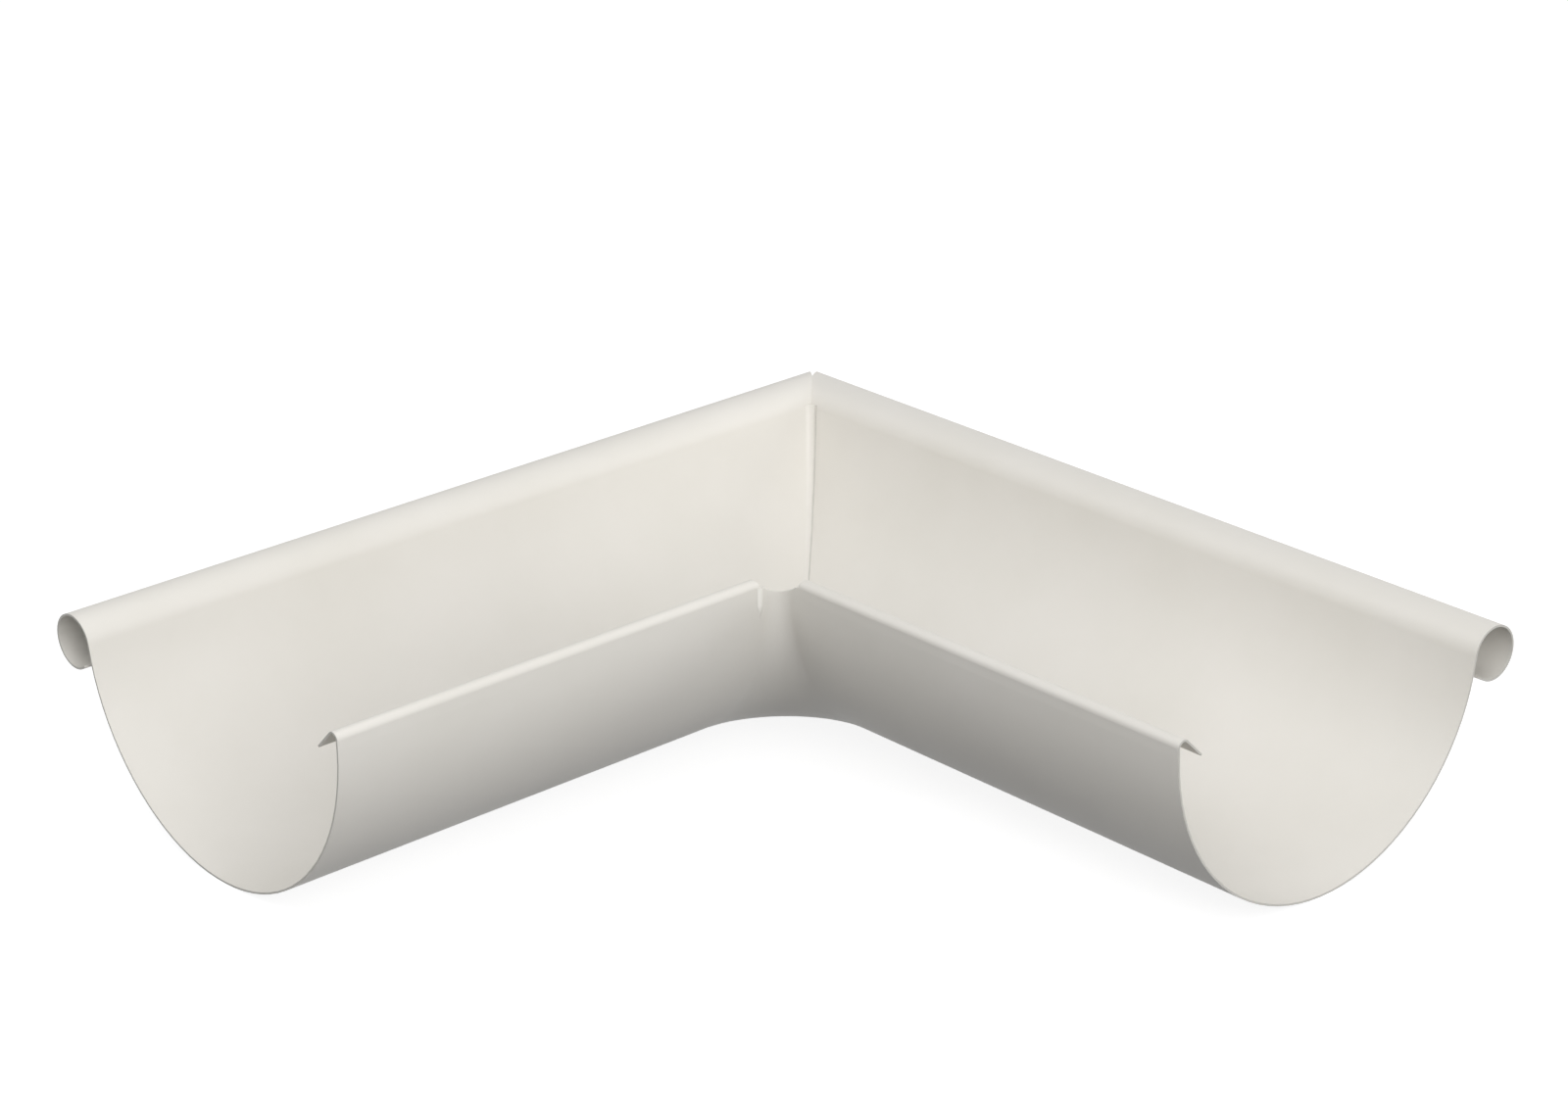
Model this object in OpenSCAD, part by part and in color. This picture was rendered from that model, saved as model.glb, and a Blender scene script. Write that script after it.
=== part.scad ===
// Outside corner piece of a half-round roof gutter, pressed and rolled from one coated sheet.
// The arms run along +X and +Y. The bead is on the outer rim and the fold on the inner one.

/* [Trough] */
// Inside radius of the half-round trough
trough_r = 62.5; // [40:0.5:100]
// Thickness of the coated sheet
sheet_t = 0.6; // [0.5:0.1:1.2]
// Length of each arm, from the crossing of the trough centre lines to its open end
arm_len = 225; // [160:1:400]
// Radius of the inner corner in plan, on the dry side of the back wall
inner_corner_r = 5; // [3:0.5:20]

/* [Bead] */
// Outside radius of the bead rolled along the outer rim
bead_r = 8.65; // [6:0.05:12]
// Angle below level at which the trough wall runs into the bead
bead_drop = 7.8; // [4:0.1:15]
// Turn through which the sheet is rolled to make the bead
bead_wrap = 300; // [285:1:320]
// Angle of the open cut where the two beads meet
notch_angle = 24; // [4:1:30]
// How far that cut reaches past the bead's centre line, towards the trough
notch_reach = 2.2; // [0:0.1:4]

/* [Back fold] */
// Outside radius of the bend along the top of the back wall
fold_r = 2.2; // [1.5:0.1:4]
// Height of the bend's centre above the trough centre
fold_rise = 3.1; // [2:0.1:8]
// Angle at which the flange falls towards the trough
flange_slope = 46; // [30:1:70]
// Width of the flange, from the bend to its free edge
flange_len = 8.1; // [4:0.1:12]
// Radius of the flange's free corner at the inner corner
flange_corner_r = 4; // [2:0.5:6]
// Distance from the end of the rounded corner to the start of the fold
fold_gap = 3; // [1:0.5:20]
// Radius at which the end of the fold is rounded off, seen from the side
fold_end_r = 3; // [2.5:0.1:6]
// Length of level edge left beside each end of the fold
dip_margin = 1; // [0.5:0.1:3]
// Height of the wall edge in the middle of the inner corner, against the trough centre
dip_height = 0.5; // [-6:0.1:1.2]

/* [Corner seam] */
// Radius at which the lapped seam is bent across the outer corner, at the rim
seam_r = 2.6; // [1.5:0.1:6]
// Share of that radius that is left at the foot of the seam
seam_taper = 0.35; // [0.2:0.05:1]
// Angle below level at which the seam runs out
seam_foot = 74; // [50:1:80]

/* [Press marks] */
// Length of the pinched crease under the end of the fold, on the arm that runs along +X
crease_len = 13; // [6:0.5:15]
// Radius of the crease, which comes to a point at its foot
crease_r = 1.6; // [0.9:0.1:2.5]
// How far the crease stands out of the wall
crease_out = 0.45; // [0.2:0.05:0.6]

/* [Hidden] */
$fn = 96;

coating = [0.878, 0.863, 0.831];
trough_out = trough_r + sheet_t;
// Where two bends run into each other, the tighter one is this much thicker on each side and both
// run on a little, so that they join inside the sheet and not on a shared line
weld = 0.02;
weld_run = 0.25;
function weld_angle(r) = weld_run / r * 180 / PI;
bead_bore_r = bead_r - sheet_t - weld;
bead_dist = trough_r + bead_r;
bead_u = bead_dist * cos(bead_drop);
bead_z = -bead_dist * sin(bead_drop);
rim_u = bead_u + bead_r + weld;
// Whole number past the rim, so that every run ends on the same plane
mitre_start = -ceil(rim_u) - 1;
// Plan centre of the pressed inner corner, from which its torus is swept
turn = trough_out + inner_corner_r;
fold_start = turn + fold_gap;
flange_turn = 90 + flange_slope;
// Y of the flange's free edge on the arm that runs along +X
flange_edge_y = trough_out - fold_r - fold_r * sin(flange_slope) - flange_len * cos(flange_slope);
// Box round one arm that cuts and halves reach past
reach = 2 * (arm_len + rim_u);
// The whole piece stands on z = 0, centred between its outer faces
plan_centre = (arm_len - rim_u) / 2;

fan_steps = 12;
seam_steps = 22;
seam_arc_steps = 8;
seam_bury = sheet_t / 2;
// The bent edge starts just above the foot of the bead and sinks a little into the wall it leaves
seam_top = bead_drop - 1;
seam_sink = 0.05;
// Share of the crease that narrows, and the share of its radius left at the foot, inside the wall
crease_point = 0.55;
crease_foot = 0.2;
// Keeps the rounded end of the fold from only grazing the plane of that end
fold_end_lip = 0.1;

// Sector of a ring between two angles, which may be up to a full turn apart
module ring_2d(outer, inner, from, to) {
    rest = 360 - (to - from);
    fan = [for (i = [0:fan_steps]) 2 * outer * [cos(to + rest * i / fan_steps), sin(to + rest * i / fan_steps)]];
    difference() {
        circle(r = outer);
        circle(r = inner);
        polygon(concat([[0, 0]], fan));
    }
}

// Profiles are drawn with the outer rim at +X and the trough centre at the origin

// Outer half of the trough with the bead rolled outward from its rim
module outer_profile() {
    ring_2d(trough_out, trough_r, 270, 360 - bead_drop + weld_angle(trough_r));
    translate([bead_u, bead_z])
        ring_2d(bead_r + weld, bead_bore_r, 180 - bead_drop - bead_wrap, 180 - bead_drop + 3 * weld_angle(bead_r));
}

// Inner half of the trough with the upright wall above it
module inner_profile() {
    ring_2d(trough_out, trough_r, 180, 270);
    translate([-trough_out, 0])
        square([sheet_t, fold_rise]);
}

// Bend along the top of the back wall and the flange that falls towards the water
module fold_profile() {
    slope_start = 180 - flange_turn;
    translate([-trough_out + fold_r, fold_rise]) {
        ring_2d(fold_r + weld, fold_r - sheet_t - weld, slope_start - 2 * weld_angle(fold_r), 180);
        rotate(slope_start)
            translate([fold_r - sheet_t, -flange_len])
                square([sheet_t, flange_len + weld_run]);
    }
}

// Runs a profile along +X between two distances from the crossing of the centre lines
module run(from, to) {
    translate([from, 0, 0])
        rotate([90, 0, 90])
            linear_extrude(to - from)
                mirror([1, 0])
                    children();
}

// Everything on the far side of the diagonal plane that the two arms share
module beyond_mitre() {
    translate([0, 0, -reach / 2])
        linear_extrude(reach)
            polygon([[-reach, -reach], [reach, reach], [-reach, reach]]);
}

// Outer wall and bead of one arm, cut square at its end and mitred at the corner
module outer_wall() {
    difference() {
        run(mitre_start, arm_len)
            outer_profile();
        beyond_mitre();
    }
}

// Fold of one arm, rounded off at its end and at the free corner of its flange
module fold() {
    difference() {
        run(fold_start, arm_len)
            fold_profile();
        translate([fold_start, reach, fold_rise])
            rotate([90, 0, 0])
                linear_extrude(reach)
                    difference() {
                        translate([-1, 0])
                            square([fold_end_r - fold_end_lip + 1, fold_end_r + fold_r]);
                        translate([fold_end_r - fold_end_lip, 0])
                            circle(r = fold_end_r);
                    }
        translate([fold_start, flange_edge_y, -trough_r])
            linear_extrude(2 * trough_r)
                difference() {
                    translate([-1, -1])
                        square(flange_corner_r + 1);
                    translate([flange_corner_r, flange_corner_r])
                        circle(r = flange_corner_r);
                }
    }
}

// Pinched crease in the dry side of the back wall, kept out of the trough
module crease() {
    point_len = crease_len * crease_point;
    difference() {
        translate([fold_start, trough_out - crease_r + crease_out, fold_rise - crease_len]) {
            cylinder(h = point_len, r1 = crease_r * crease_foot, r2 = crease_r);
            translate([0, 0, point_len])
                cylinder(h = crease_len - point_len, r = crease_r);
        }
        rotate([0, 90, 0])
            cylinder(h = reach, r = trough_r + seam_bury);
        cube([reach, trough_r + seam_bury, reach]);
    }
}

// One arm up to the diagonal, without the pressed inner corner
module arm() {
    outer_wall();
    run(turn, arm_len)
        inner_profile();
    fold();
}

// Quarter of a torus that carries the inner half of the trough round the corner
module pressed_corner() {
    translate([turn, turn, 0])
        rotate(180)
            rotate_extrude(angle = 90)
                translate([turn, 0])
                    inner_profile();
}

// Level patch between the torus and the bottom lines of the two mitred outer walls
module corner_floor() {
    translate([0, 0, -trough_out])
        linear_extrude(sheet_t)
            difference() {
                square(turn);
                translate([turn, turn])
                    circle(r = turn, $fn = 4 * $fn);
            }
}

// Shallow arc that dips the wall edge between the two ends of the fold
module edge_dip() {
    half_span = (fold_start - dip_margin - trough_out) / sqrt(2);
    depth = fold_rise - dip_height;
    dip_r = (half_span * half_span + depth * depth) / (2 * depth);
    translate([trough_out - fold_r, trough_out - fold_r, dip_height + dip_r])
        rotate([0, 90, 45])
            cylinder(h = 4 * turn, r = dip_r);
}

// Opening of the bead's mitre, a wedge in plan that widens towards the outer corner
module bead_notch() {
    wedge_len = notch_reach + (bead_r + 1) * sqrt(2);
    half_width = wedge_len * tan(notch_angle / 2);
    translate([-bead_u, -bead_u, bead_z - bead_r - 1])
        rotate(225)
            translate([-notch_reach, 0])
                linear_extrude(2 * bead_r + 2)
                    polygon([[0, 0], [wedge_len, -half_width], [wedge_len, half_width]]);
}

// Level cut through the lapped seam at one angle below the trough centre, from its buried corner
function seam_ring(a) =
    let (
        u = trough_r * cos(a),
        along = (a - seam_top) / (seam_foot - seam_top),
        r = seam_r * (1 - (1 - seam_taper) * along),
        bury = seam_bury / cos(a),
        proud = sheet_t * (1 - 0.5 * along),
        z = -trough_r * sin(a)
    )
    concat(
        [[-u - bury, -u - bury, z], [-u - bury, -u + r, z]],
        [for (i = [0:seam_arc_steps]) let (t = 180 + 90 * i / seam_arc_steps)
            [-u + proud + r + r * cos(t), -u - seam_sink + r + r * sin(t), z]],
        [[-u + proud + r, -u - bury, z]]
    );

// Edge of one arm's sheet, bent across the outer corner and lapped on the other arm
module lapped_seam() {
    count = seam_arc_steps + 4;
    rings = [for (i = [0:seam_steps]) seam_ring(seam_top + (seam_foot - seam_top) * i / seam_steps)];
    sides = [for (i = [0:seam_steps - 1], k = [0:count - 1])
        let (next = (k + 1) % count)
        [i * count + k, i * count + next, (i + 1) * count + next, (i + 1) * count + k]];
    top = [[0, for (k = [count - 1:-1:1]) k]];
    foot = [[for (k = [0:count - 1]) seam_steps * count + k]];
    polyhedron(points = [for (ring = rings, p = ring) p], faces = concat(sides, top, foot));
}

module gutter_angle() {
    color(coating)
        translate([-plan_centre, -plan_centre, trough_out])
            union() {
                difference() {
                    union() {
                        arm();
                        mirror([1, -1, 0])
                            arm();
                        crease();
                        pressed_corner();
                        corner_floor();
                    }
                    bead_notch();
                    edge_dip();
                }
                lapped_seam();
            }
}

gutter_angle();
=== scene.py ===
import math

import bmesh
import bpy
from mathutils import Matrix, Vector


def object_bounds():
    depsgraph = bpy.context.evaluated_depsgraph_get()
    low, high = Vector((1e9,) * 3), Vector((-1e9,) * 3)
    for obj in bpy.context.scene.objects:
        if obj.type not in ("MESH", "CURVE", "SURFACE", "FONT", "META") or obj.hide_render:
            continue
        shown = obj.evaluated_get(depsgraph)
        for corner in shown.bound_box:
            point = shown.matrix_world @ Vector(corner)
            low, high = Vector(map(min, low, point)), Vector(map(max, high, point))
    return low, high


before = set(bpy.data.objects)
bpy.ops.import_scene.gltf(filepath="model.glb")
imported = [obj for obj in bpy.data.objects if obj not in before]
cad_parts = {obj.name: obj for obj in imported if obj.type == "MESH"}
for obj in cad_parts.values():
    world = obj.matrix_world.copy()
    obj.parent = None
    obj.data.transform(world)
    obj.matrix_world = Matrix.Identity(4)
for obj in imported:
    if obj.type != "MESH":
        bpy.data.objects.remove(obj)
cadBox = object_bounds()
mm = 0.001  # metres in a millimetre
print("frame loaded, box in mm", [[round(v / mm, 1) for v in corner] for corner in cadBox])


# sRGB hex to the linear values that Blender works in
def hexToLinear(code):
    channels = [int(code[i:i + 2], 16) / 255 for i in (1, 3, 5)]
    return [c / 12.92 if c <= 0.04045 else ((c + 0.055) / 1.055) ** 2.4 for c in channels] + [1.0]


# One node with its settings, and its inputs given as values or as the sockets that feed them
def addNode(tree, kind, settings=None, inputs=None):
    node = tree.nodes.new(kind)
    for name, value in (settings or {}).items():
        setattr(node, name, value)
    for name, value in (inputs or {}).items():
        if isinstance(value, bpy.types.NodeSocket):
            tree.links.new(value, node.inputs[name])
        else:
            node.inputs[name].default_value = value
    return node


# Hot-dip galvanised steel sheet, coil-coated with a baked polyester paint and then roll-formed.
# To the eye: an even, warm off-white with a satin sheen and a faint orange peel close up. Thin
# grey lines wherever the sheet was sheared after painting also serve as painted shade on those
# edges and as a painted shadow under the lap's edge, and a pale stripe along the crease is a
# painted highlight.
polyesterCoat = {
    "lighter": "#e2dfd9",
    "darker": "#dedbd4",
    "cloud": 45,            # mm across a patch of slightly thicker or thinner paint
    "cloudSpan": (0.3, 0.7),  # part of the noise over which the tone runs from darker to lighter
    "cloudDetail": 4.0,
    "cloudRoughness": 0.55,
    "roughness": (0.42, 0.52),  # over the same clouds
    "ior": 1.5,
    "peel": 0.9,            # mm from crest to crest of the orange peel
    "peelDepth": 0.012,     # mm
    "peelStrength": 0.4,
    "rollWave": 38,         # mm between the soft waves that forming leaves in thin sheet
    "rollDepth": 0.03,      # mm
    "creaseHighlightColour": "#f6f4ee", # painted highlight along the crease's ridge, where it catches the light
    "cutEdgeAndShade": "#c2c0ba",   # grey of the bare sheared steel, also painted shade on the ends and painted shadow under the lap's edge
    "cutDepth": 0.06,       # mm in from an arm's end that counts as the cut
}

# The lapped seam in the outer corner, along whose free edge a grey line is painted as the shadow
# under that edge. Its places repeat the source's sizes, in mm and degrees.
lappedSeam = {
    "crossing": -72.919,    # x and y where the trough centre lines cross
    "centreHeight": 63.1,
    "troughRadius": 62.5,
    "angles": (6.8, 74),    # below level, from the rim to the foot
    "reach": (2.6, 0.91),   # how far the lap reaches over the other arm, rim and foot
    "halfBand": 0.72,       # to each side of the other arm's wall, where the lap can be
    "halfLine": 0.12,       # half the width of the painted shadow line
    "strength": 0.9,        # how strongly the painted shadow line is mixed in
}

# The crease pinched into the dry side of the back wall, whose ridge gets a painted highlight,
# paler towards its crest
pressMark = {
    "x": -1.819,            # mm, along the wall
    "halfWidth": 1.5,       # mm
    "ridge": (-9.81, -9.6), # mm, y of the wall and of the crease's upper half
    "strength": 0.65,
}


# Masks of the lap's edge, where a shadow line is painted, and of the crease's painted highlight,
# worked out step by step from the place on the sheet. Each step has a name, a maths operation and
# the names or numbers that it takes.
def makeMarkMasks(tree, axes, seam, mark):
    top, foot = (math.radians(a) for a in seam["angles"])
    radius, crossing = seam["troughRadius"] * mm, seam["crossing"] * mm
    taper = (seam["reach"][1] - seam["reach"][0]) * mm / (foot - top)
    wall, crest = (y * mm for y in mark["ridge"])
    steps = [
        # the lap's edge: a grey line painted as the shadow under it
        ("height", "SUBTRACT", "z", seam["centreHeight"] * mm),
        ("sine", "DIVIDE", "height", -radius),
        ("angle", "ARCSINE", "sine"),
        ("cosine", "COSINE", "angle"),
        ("wallAndCrossing", "MULTIPLY_ADD", "cosine", radius, -crossing),
        ("reach", "MULTIPLY_ADD", "angle", taper, seam["reach"][0] * mm - taper * top),
        ("fromWallY", "ADD", "y", "wallAndCrossing"),
        ("fromWallX", "ADD", "x", "wallAndCrossing"),
        ("onLine", "COMPARE", "fromWallY", "reach", seam["halfLine"] * mm),
        ("onLap", "COMPARE", "fromWallX", 0.0, seam["halfBand"] * mm),
        ("underRim", "GREATER_THAN", "angle", top),
        ("aboveFoot", "LESS_THAN", "angle", foot),
        ("lineOnLap", "MULTIPLY", "onLine", "onLap"),
        ("underRimOnly", "MULTIPLY", "lineOnLap", "underRim"),
        ("wholeLine", "MULTIPLY", "underRimOnly", "aboveFoot"),
        ("lapEdgeShadowLine", "MULTIPLY", "wholeLine", seam["strength"]),
        # the crease's painted highlight, paler towards its crest
        ("outOfWall", "SUBTRACT", "y", wall),
        ("rise", "DIVIDE", "outOfWall", crest - wall),
        ("capped", "MINIMUM", "rise", 1.0),
        ("ridge", "MAXIMUM", "capped", 0.0),
        ("besideMark", "COMPARE", "x", mark["x"] * mm, mark["halfWidth"] * mm),
        ("wholeMark", "MULTIPLY", "ridge", "besideMark"),
        ("crease", "MULTIPLY", "wholeMark", mark["strength"]),
    ]
    made = {"x": axes.outputs["X"], "y": axes.outputs["Y"], "z": axes.outputs["Z"]}
    for name, operation, *taken in steps:
        taken = {i: made.get(value, value) for i, value in enumerate(taken)}
        made[name] = addNode(tree, "ShaderNodeMath", {"operation": operation}, taken).outputs[0]
    return made["lapEdgeShadowLine"], made["crease"]


def makePolyesterCoat(look, box):
    material = bpy.data.materials.new("polyesterCoatedSteel")
    material.use_nodes = True
    tree = material.node_tree
    tree.nodes.clear()
    place = addNode(tree, "ShaderNodeTexCoord").outputs["Object"]
    axes = addNode(tree, "ShaderNodeSeparateXYZ", inputs={"Vector": place})

    cloud = addNode(tree, "ShaderNodeTexNoise", inputs={
        "Vector": place, "Scale": 1 / (look["cloud"] * mm),
        "Detail": look["cloudDetail"], "Roughness": look["cloudRoughness"]})
    tone = addNode(tree, "ShaderNodeValToRGB", inputs={"Fac": cloud.outputs["Fac"]})
    ends = zip(tone.color_ramp.elements, look["cloudSpan"], (look["darker"], look["lighter"]))
    for element, position, code in ends:
        element.position = position
        element.color = hexToLinear(code)

    cutEdgeShadeMask, crease = makeMarkMasks(tree, axes, lappedSeam, pressMark)
    # the arms' sheared ends in the same grey: bare steel, and painted shade on these edges
    for axis, high in (("X", box[1][0]), ("Y", box[1][1])):
        end = addNode(tree, "ShaderNodeMath", {"operation": "GREATER_THAN"}, {
            0: axes.outputs[axis], 1: high - look["cutDepth"] * mm}).outputs[0]
        cutEdgeShadeMask = addNode(tree, "ShaderNodeMath", {"operation": "MAXIMUM"}, {
            0: cutEdgeShadeMask, 1: end}).outputs[0]
    colour = tone.outputs["Color"]
    # a painted highlight on the crease, then the grey lines of bare cut steel and painted shade
    for mask, code in ((crease, look["creaseHighlightColour"]), (cutEdgeShadeMask, look["cutEdgeAndShade"])):
        mix = addNode(tree, "ShaderNodeMix", {"data_type": "RGBA"}, {"Factor": mask})
        mixInputs = [socket for socket in mix.inputs if socket.type == "RGBA"]
        tree.links.new(colour, mixInputs[0])
        mixInputs[1].default_value = hexToLinear(code)
        colour = next(socket for socket in mix.outputs if socket.type == "RGBA")

    sheen = addNode(tree, "ShaderNodeMapRange", inputs={
        "Value": cloud.outputs["Fac"],
        "From Min": look["cloudSpan"][0], "From Max": look["cloudSpan"][1],
        "To Min": look["roughness"][0], "To Max": look["roughness"][1]})

    wave = addNode(tree, "ShaderNodeTexNoise", inputs={
        "Vector": place, "Scale": 1 / (look["rollWave"] * mm), "Detail": 0.0})
    waveBump = addNode(tree, "ShaderNodeBump", inputs={
        "Height": wave.outputs["Fac"], "Strength": 1.0, "Distance": look["rollDepth"] * mm})
    peel = addNode(tree, "ShaderNodeTexNoise", inputs={
        "Vector": place, "Scale": 1 / (look["peel"] * mm), "Detail": 1.0})
    peelBump = addNode(tree, "ShaderNodeBump", inputs={
        "Height": peel.outputs["Fac"], "Strength": look["peelStrength"],
        "Distance": look["peelDepth"] * mm, "Normal": waveBump.outputs["Normal"]})

    shader = addNode(tree, "ShaderNodeBsdfPrincipled", inputs={
        "Base Color": colour, "Roughness": sheen.outputs["Result"], "IOR": look["ior"],
        "Normal": peelBump.outputs["Normal"]})
    addNode(tree, "ShaderNodeOutputMaterial", inputs={"Surface": shader.outputs["BSDF"]})
    return material


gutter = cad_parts["gutter_angle"]
coat = makePolyesterCoat(polyesterCoat, cadBox)
for slot in gutter.material_slots:
    slot.link = "OBJECT"
    slot.material = coat
print("gutter coated,", len(gutter.data.polygons), "faces")


# White to the camera and in reflections, with the gutter's soft shadow kept in it. To all other
# light it is the grey of a table, so that the undersides of the gutter stay in shade.
paleFloor = {
    "size": 6.0,            # m
    "glow": 0.87,           # its own brightness, where 1 is white
    "white": "#959595",     # the rest comes from the lamps, and is missing in the shadow
    "grey": "#2c2c2c",
}


# 1 for camera, glossy and transmission rays
def seenDirectly(tree):
    path = addNode(tree, "ShaderNodeLightPath")
    seen = path.outputs["Is Camera Ray"]
    for other in ("Is Glossy Ray", "Is Transmission Ray"):
        seen = addNode(tree, "ShaderNodeMath", {"operation": "MAXIMUM"}, {
            0: seen, 1: path.outputs[other]}).outputs[0]
    return seen


def makeFloor(look):
    sheet = bmesh.new()
    bmesh.ops.create_grid(sheet, x_segments=1, y_segments=1, size=look["size"] / 2)
    mesh = bpy.data.meshes.new("floor")
    sheet.to_mesh(mesh)
    sheet.free()
    floor = bpy.data.objects.new("floor", mesh)
    bpy.context.scene.collection.objects.link(floor)
    material = bpy.data.materials.new("paleFloor")
    material.use_nodes = True
    tree = material.node_tree
    tree.nodes.clear()
    grey = addNode(tree, "ShaderNodeBsdfDiffuse", inputs={"Color": hexToLinear(look["grey"])})
    white = addNode(tree, "ShaderNodeBsdfDiffuse", inputs={"Color": hexToLinear(look["white"])})
    glow = addNode(tree, "ShaderNodeEmission", inputs={
        "Color": (1, 1, 1, 1), "Strength": look["glow"]})
    bright = addNode(tree, "ShaderNodeAddShader", inputs={0: white.outputs[0], 1: glow.outputs[0]})
    mix = addNode(tree, "ShaderNodeMixShader", inputs={
        0: seenDirectly(tree), 1: grey.outputs[0], 2: bright.outputs[0]})
    addNode(tree, "ShaderNodeOutputMaterial", inputs={"Surface": mix.outputs[0]})
    floor.data.materials.append(material)


makeFloor(paleFloor)

# A white room: full white to the camera and in reflections, dimmer as a light
studioRoom = {
    "light": 0.4,
    "seen": 1.0,
}


def makeRoom(look):
    world = bpy.data.worlds.new("studioRoom")
    bpy.context.scene.world = world
    world.use_nodes = True
    tree = world.node_tree
    tree.nodes.clear()
    strength = addNode(tree, "ShaderNodeMapRange", inputs={
        "Value": seenDirectly(tree), "To Min": look["light"], "To Max": look["seen"]})
    background = addNode(tree, "ShaderNodeBackground", inputs={
        "Color": (1, 1, 1, 1), "Strength": strength.outputs["Result"]})
    addNode(tree, "ShaderNodeOutputWorld", inputs={"Surface": background.outputs[0]})


makeRoom(studioRoom)

# Round soft lamps on a sphere about the gutter, by compass angle and height angle
softLamps = {
    "target": (0, 0, 0.03),
    "distance": 1.8,        # m
    "lamps": [              # name, compass angle, height angle, size in m, watts
        ("sideLamp", 71, 18, 2.0, 25.8),
        ("highLamp", 30, 68, 2.0, 8.9),
        ("leftFill", 150, 18, 0.9, 5.2),
        ("rightFill", 315, 48, 0.9, 3.8),
    ],
}


def makeLamps(look):
    target = Vector(look["target"])
    for name, compass, height, size, watts in look["lamps"]:
        compass, height = math.radians(compass), math.radians(height)
        toLamp = Vector((math.cos(compass) * math.cos(height),
                         math.sin(compass) * math.cos(height), math.sin(height)))
        light = bpy.data.lights.new(name, "AREA")
        light.shape = "DISK"
        light.size = size
        light.energy = watts
        lamp = bpy.data.objects.new(name, light)
        lamp.location = target + toLamp * look["distance"]
        lamp.rotation_euler = toLamp.to_track_quat("Z", "Y").to_euler()
        lamp.visible_camera = False
        bpy.context.scene.collection.objects.link(lamp)


makeLamps(softLamps)
bpy.context.scene.view_settings.view_transform = "Standard"
print("floor, room and", len(softLamps["lamps"]), "lamps made")

# The photograph's place and angle
photoCamera = {
    "place": (0.743926, 0.849957, 0.552900),   # m
    "azimuth": 138.693,
    "elevation": 22.700,
    "roll": -1.036,
    "lens": 96.16,          # mm on a 36 mm wide sensor
}


def makeCamera(look):
    data = bpy.data.cameras.new("photoCamera")
    data.lens = look["lens"]
    data.sensor_width = 36
    data.clip_start = 0.05
    camera = bpy.data.objects.new("photoCamera", data)
    bpy.context.scene.collection.objects.link(camera)
    turn = (Matrix.Rotation(math.radians(look["azimuth"]), 4, "Z")
            @ Matrix.Rotation(math.radians(90 - look["elevation"]), 4, "X")
            @ Matrix.Rotation(math.radians(look["roll"]), 4, "Z"))
    camera.matrix_world = Matrix.Translation(look["place"]) @ turn
    bpy.context.scene.camera = camera


makeCamera(photoCamera)
print("camera placed")
